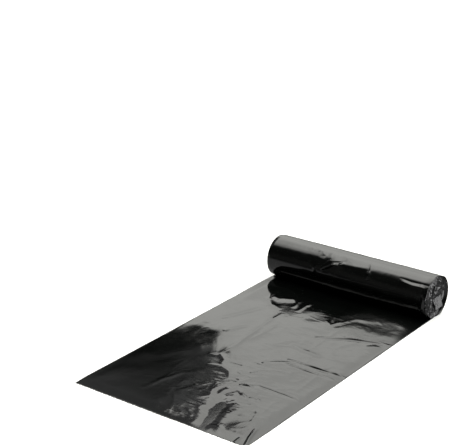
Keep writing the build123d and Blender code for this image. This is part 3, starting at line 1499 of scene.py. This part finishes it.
@dataclass
class Studio:
    """Floor, soft light and camera.

    Directions in the light are X, Y and Z shares of a unit vector. A pair that is named for a
    side, a depth or a drop is the range of such shares over which the light comes or goes.

    Attributes:
        sizes: Where the part lies.
        floor_half: Half the width of the floor.
        floor_drop: How far the floor lies below the part's foot, so that the two don't flicker.
        azimuth: Degrees that the camera stands to the right of straight ahead.
        elevation: Degrees that it looks down.
        distance: How far it stands from the place that it is aimed at.
        lens: Its focal length in millimetres.
        sensor: Width of its sensor in millimetres.
        sight: How far it sees.
        aim: The place on the floor that it is aimed at, from the roll's axis.
        tent: Brightness of the tent by degrees of rise from straight behind.
        warmth: Colour of the tent.
        dim_side: Where the tent dims overhead on the left.
        dim_rise: Degrees of rise over which it does.
        dim_share: Share of the brightness left there.
        left_side: Where the tent ends on the left.
        left_share: Share of the brightness left there.
        right_side: Where it ends on the right.
        right_share: Share of the brightness left there.
        ground: Brightness below the horizon, ahead and behind.
        ground_depth: Where the one goes over to the other.
        ground_drop: Where the dark line at the horizon ends.
        ground_share: Share of the brightness left in that line.
        box_right: Where the soft box on the right begins.
        box_left: Where the soft box on the left begins.
        box_ahead: Where the soft box on the left begins, from behind.
        box_middle: The middle of the soft boxes' foot.
        foot_depth: Where the foot rises, from its middle.
        foot_level: Height of the foot at its middle and beside it.
        foot_soft: Half the width of the foot's soft edge.
        head_depth: Where the head of the soft boxes rises.
        head_level: Height of the head before and behind that.
        head_soft: Half the width of the head's soft edge.
        side_depth: Where the soft boxes go over from dim to bright.
        side_level: Their brightness ahead and behind.
        flag_x: Where the flag hangs.
        flag_origin: Lowest corner of its mesh, along Y from the roll's axis, and in height.
        flag_step: Size of its mesh's faces.
        flag_cells: Faces along it and up it.
        flag_soft: Width of its soft edge.
        flag_level: Brightness of the painted light that its cloth glows with.
        flag_fade: Height of the line above which the cloth is bright, and the line's slope.
        flag_fade_depth: How far below that line the cloth's painted shade is darkest.
        flag_fade_share: Share of the brightness that is lost there.
        flag_outline: Corners of the cloth.
        flag_patches: Patches of brighter painted light on the cloth: place, size and added
            brightness.
    """

    sizes: Sizes
    floor_half: float = 6.0
    floor_drop: float = 0.0002
    azimuth: float = 36.92
    elevation: float = 20.41
    distance: float = 2.857
    lens: float = 103.9
    sensor: float = 36.0
    sight: float = 50.0
    aim: tuple[float, float] = (-0.4337, 0.1642)
    tent: tuple[tuple[float, float], ...] = (
        (0.0, 0.55),
        (8.0, 0.95),
        (16.0, 1.3),
        (24.0, 1.75),
        (29.0, 2.3),
        (35.0, 2.35),
        (42.0, 2.9),
        (52.0, 3.9),
        (66.0, 4.9),
        (90.0, 5.2),
        (100.0, 3.6),
        (107.0, 1.6),
        (113.0, 0.25),
        (122.0, 0.06),
        (150.0, 0.05),
        (165.0, 0.12),
        (180.0, 0.12),
    )
    warmth: tuple[float, float, float] = (1.0, 1.0, 0.955)
    dim_side: tuple[float, float] = (-0.55, -0.46)
    dim_rise: tuple[float, float] = (48.0, 68.0)
    dim_share: float = 0.70
    left_side: tuple[float, float] = (-0.88, -0.66)
    left_share: float = 0.25
    right_side: tuple[float, float] = (0.45, 0.85)
    right_share: float = 0.12
    ground: tuple[float, float] = (0.65, 0.35)
    ground_depth: tuple[float, float] = (-0.1, 0.5)
    ground_drop: tuple[float, float] = (-0.03, -0.16)
    ground_share: float = 0.1
    box_right: tuple[float, float] = (0.25, 0.45)
    box_left: tuple[float, float] = (-0.60, -0.70)
    box_ahead: tuple[float, float] = (-0.30, -0.42)
    box_middle: float = 0.02
    foot_depth: tuple[float, float] = (0.19, 0.27)
    foot_level: tuple[float, float] = (-0.42, -0.04)
    foot_soft: float = 0.06
    head_depth: tuple[float, float] = (0.30, 0.50)
    head_level: tuple[float, float] = (0.06, 0.20)
    head_soft: float = 0.05
    side_depth: tuple[float, float] = (-0.32, -0.16)
    side_level: tuple[float, float] = (0.7, 10.5)
    flag_x: float = -0.70
    flag_origin: tuple[float, float] = (-0.27, 0.02)
    flag_step: float = 0.012
    flag_cells: tuple[int, int] = (70, 68)
    flag_soft: float = 0.022
    flag_level: float = 0.24
    flag_fade: tuple[float, float] = (0.4247, 0.722)
    flag_fade_depth: float = 0.18
    flag_fade_share: float = 0.95
    flag_outline: tuple[tuple[float, float], ...] = (
        (-0.25, 0.06),
        (0.14, 0.04),
        (0.22, 0.28),
        (0.37, 0.365),
        (0.47, 0.43),
        (0.505, 0.49),
        (0.465, 0.52),
        (0.485, 0.55),
        (0.55, 0.58),
        (0.56, 0.68),
        (0.54, 0.72),
        (0.42, 0.74),
        (0.32, 0.82),
        (-0.25, 0.82),
    )
    flag_patches: tuple[tuple[float, float, float, float, float], ...] = (
        (0.34, 0.55, 0.06, 0.07, 0.24),
        (0.46, 0.54, 0.05, 0.04, 0.30),
        (0.32, 0.63, 0.05, 0.04, 0.15),
        (0.42, 0.69, 0.04, 0.04, 0.40),
    )

    def build_floor(self) -> None:
        """Lay the floor."""
        h, z = self.floor_half, -self.floor_drop
        mesh = bpy.data.meshes.new("floor")
        corners = [(-h, -h, z), (h, -h, z), (h, h, z), (-h, h, z)]
        mesh.from_pydata(corners, [], [(0, 1, 2, 3)])
        mesh.materials.append(PaleFloor().build())
        floor = place("floor", mesh)
        # the film mirrors the dimmer studio round the floor, not the lit floor itself
        floor.visible_glossy = False

    def tent_light(
        self, tree: Tree, way: dict[str, bpy.types.NodeSocket]
    ) -> bpy.types.NodeSocket:
        """Light of the tent: bright behind and above the roll, dark in front of it.

        Args:
            tree: The world's nodes.
            way: Shares of the direction along X, Y and Z.

        Returns:
            The light.
        """
        rise = tree.math("ARCTAN2", way["Z"], way["Y"])
        ramp = tree.add("ShaderNodeValToRGB")
        tree.join(tree.math("DIVIDE", rise, math.pi), ramp.inputs["Fac"])
        peak = max(level for _, level in self.tent)
        stops = ramp.color_ramp.elements
        while len(stops) < len(self.tent):
            stops.new(0.5)
        for stop, (degrees, level) in zip(stops, self.tent):
            stop.position = degrees / 180.0
            stop.color = (*(level / peak * c for c in self.warmth), 1.0)
        # the tent is dimmer overhead towards the left
        aside = tree.ramp(way["X"], self.dim_side, (self.dim_share * peak, peak))
        start, full = self.dim_rise
        overhead = tree.ramp(rise, (math.radians(start), math.radians(full)), (0.0, 1.0))
        dimming = tree.math("MULTIPLY", tree.math("SUBTRACT", aside, peak), overhead)
        # it ends on the left, so that lengthwise creases show one dark flank
        left = tree.ramp(way["X"], self.left_side, (self.left_share, 1.0))
        # and on the right, so that the film doesn't wash out when seen low from the left
        right = tree.ramp(way["X"], self.right_side, (1.0, self.right_share))
        within = tree.math("MULTIPLY", left, right)
        tent = tree.add("ShaderNodeBackground")
        tree.join(ramp.outputs["Color"], tent.inputs["Color"])
        strength = tree.math("MULTIPLY", tree.math("ADD", dimming, peak), within)
        tree.join(strength, tent.inputs["Strength"])
        return tent.outputs["Background"]

    def ground_light(
        self, tree: Tree, way: dict[str, bpy.types.NodeSocket]
    ) -> bpy.types.NodeSocket:
        """Light from below the horizon.

        Args:
            tree: The world's nodes.
            way: Shares of the direction along X, Y and Z.

        Returns:
            The light.
        """
        behind = tree.ramp(way["Y"], self.ground_depth, self.ground)
        below = tree.ramp(way["Z"], self.ground_drop, (self.ground_share, 1.0))
        ground = tree.add("ShaderNodeBackground")
        tree.join(tree.math("MULTIPLY", behind, below), ground.inputs["Strength"])
        return ground.outputs["Background"]

    def box_light(
        self, tree: Tree, way: dict[str, bpy.types.NodeSocket]
    ) -> tuple[bpy.types.NodeSocket, bpy.types.NodeSocket]:
        """Light of two soft boxes.

        The tall one on the right is mirrored from the front only by the roll's right end. The
        one ahead on the left shapes the film as it is seen from the other side.

        Args:
            tree: The world's nodes.
            way: Shares of the direction along X, Y and Z.

        Returns:
            Where the boxes are, from 0 to 1, and their light.
        """
        right = tree.ramp(way["X"], self.box_right, (0.0, 1.0))
        left = tree.ramp(way["X"], self.box_left, (0.0, 1.0))
        ahead = tree.ramp(way["Y"], self.box_ahead, (0.0, 1.0))
        beside = tree.math("ADD", right, tree.math("MULTIPLY", left, ahead))
        off = tree.math("ABSOLUTE", tree.math("SUBTRACT", way["Y"], self.box_middle))
        foot = tree.ramp(off, self.foot_depth, self.foot_level)
        over_foot = tree.math("SUBTRACT", way["Z"], foot)
        raised = tree.ramp(over_foot, (-self.foot_soft, self.foot_soft), (0.0, 1.0))
        head = tree.ramp(way["Y"], self.head_depth, self.head_level)
        over_head = tree.math("SUBTRACT", way["Z"], head)
        lowered = tree.ramp(over_head, (self.head_soft, -self.head_soft), (0.0, 1.0))
        box = tree.add("ShaderNodeBackground")
        side = tree.ramp(way["Y"], self.side_depth, self.side_level)
        tree.join(side, box.inputs["Strength"])
        upright = tree.math("MULTIPLY", raised, lowered)
        return tree.math("MULTIPLY", beside, upright), box.outputs["Background"]

    def build_light(self) -> None:
        """Light the scene all round, behind a backdrop that only the camera sees."""
        world = bpy.data.worlds.new("light_tent")
        bpy.context.scene.world = world
        world.use_nodes = True
        tree = Tree(world.node_tree)
        out = tree.add("ShaderNodeOutputWorld")
        direction = tree.add("ShaderNodeTexCoord").outputs["Generated"]
        split = tree.add("ShaderNodeSeparateXYZ")
        tree.join(direction, split.inputs["Vector"])
        way = {axis: split.outputs[axis] for axis in "XYZ"}
        above = tree.math("GREATER_THAN", way["Z"], 0.0)
        dome = tree.mix(above, self.ground_light(tree, way), self.tent_light(tree, way))
        boxed, box = self.box_light(tree, way)
        lit = tree.mix(boxed, dome, box)
        backdrop = tree.add("ShaderNodeBackground")
        backdrop.inputs["Color"].default_value = (1.0, 1.0, 1.0, 1.0)
        seen = tree.add("ShaderNodeLightPath").outputs["Is Camera Ray"]
        tree.join(tree.mix(seen, lit, backdrop.outputs["Background"]), out.inputs["Surface"])

    def build_flag(self) -> None:
        """Hang a black flag out of view on the left, which the near left of the film mirrors."""
        (y0, z0), step = self.flag_origin, self.flag_step
        columns, rows = self.flag_cells
        places = [
            (y0 + i * step, z0 + j * step) for i in range(columns + 1) for j in range(rows + 1)
        ]
        points = [(self.flag_x, self.sizes.axis_y + y, z) for y, z in places]
        starts = [i * (rows + 1) + j for i in range(columns) for j in range(rows)]
        faces = [(a, a + rows + 1, a + rows + 2, a + 1) for a in starts]
        mesh = bpy.data.meshes.new("flag")
        mesh.from_pydata(points, [], faces)
        corners = np.array(self.flag_outline)
        shades = [self.inside(y, z, corners, self.flag_soft) for y, z in places]
        # the painted light and shade that the cloth glows with
        levels = [self.flag_glow(y, z) for y, z in places]
        for name, values in ((FlagCloth.SHADE, shades), (FlagCloth.LEVEL, levels)):
            layer = mesh.attributes.new(name, "FLOAT", "POINT")
            layer.data.foreach_set("value", values)
        mesh.materials.append(FlagCloth().build())
        flag = place("flag", mesh)
        flag.visible_camera = False
        flag.visible_diffuse = False
        flag.visible_shadow = False
        flag.visible_transmission = False

    def flag_glow(self, y: float, z: float) -> float:
        """How brightly the flag's cloth glows with painted light at a place.

        Args:
            y: Place along the flag, from the roll's axis.
            z: Height.

        Returns:
            The level.
        """
        # painted shade: the cloth glows less towards its lower far corner
        height, slope = self.flag_fade
        depth = min(max((height + slope * y - z) / self.flag_fade_depth, 0.0), 1.0)
        level = self.flag_level * (1.0 - self.flag_fade_share * depth)
        # patches of brighter painted light on the cloth
        for at_y, at_z, wide, high, gain in self.flag_patches:
            level += gain * math.exp(-(((y - at_y) / wide) ** 2) - ((z - at_z) / high) ** 2)
        return level

    @staticmethod
    def inside(y: float, z: float, corners: np.ndarray, soft: float) -> float:
        """How far a place lies inside an outline.

        Args:
            y: Place along the flag.
            z: Height.
            corners: Corners of the outline in order.
            soft: Width of the soft edge.

        Returns:
            0 outside, rising to 1 at that depth inside.
        """
        crossings = 0
        nearest = math.inf
        for (ay, az), (by, bz) in zip(corners, np.roll(corners, -1, axis=0)):
            if (az > z) != (bz > z) and y < ay + (z - az) / (bz - az) * (by - ay):
                crossings += 1
            length = math.hypot(by - ay, bz - az)
            reach = ((y - ay) * (by - ay) + (z - az) * (bz - az)) / length**2
            reach = min(max(reach, 0.0), 1.0)
            gap = math.hypot(y - ay - reach * (by - ay), z - az - reach * (bz - az))
            nearest = min(nearest, gap)
        return min(nearest / soft, 1.0) if crossings % 2 else 0.0

    def build_camera(self) -> None:
        """Aim the camera down at the drawn-off sack and the roll's right end."""
        turn = math.radians(self.azimuth)
        tilt = math.radians(self.elevation)
        back = (
            math.sin(turn) * math.cos(tilt),
            -math.cos(turn) * math.cos(tilt),
            math.sin(tilt),
        )
        lens = bpy.data.cameras.new("camera")
        lens.lens = self.lens
        lens.sensor_width = self.sensor
        lens.clip_end = self.sight
        camera = bpy.data.objects.new("camera", lens)
        bpy.context.scene.collection.objects.link(camera)
        aim = (self.aim[0], self.sizes.axis_y + self.aim[1], 0.0)
        camera.location = [a + self.distance * b for a, b in zip(aim, back)]
        camera.rotation_euler = (math.pi / 2 - tilt, 0.0, turn)
        bpy.context.scene.camera = camera
        bpy.context.scene.view_settings.view_transform = "Standard"


def main() -> None:
    """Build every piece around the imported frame."""
    logging.basicConfig(level=logging.INFO, format="%(name)s: %(message)s")
    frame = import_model()
    LOG.info("frame: %s", ", ".join(frame["nodes"]))
    sizes = Sizes()
    film = BlackFilm().build()
    edges = FilmEdges().build()
    studio = Studio(sizes)
    studio.build_camera()
    for piece in (DrawnSack(sizes).build(film), WoundRoll(sizes).build(film, edges)):
        LOG.info("%s: %d faces", piece.name, len(piece.data.polygons))
    studio.build_floor()
    studio.build_light()
    studio.build_flag()


if __name__ == "__main__":
    main()
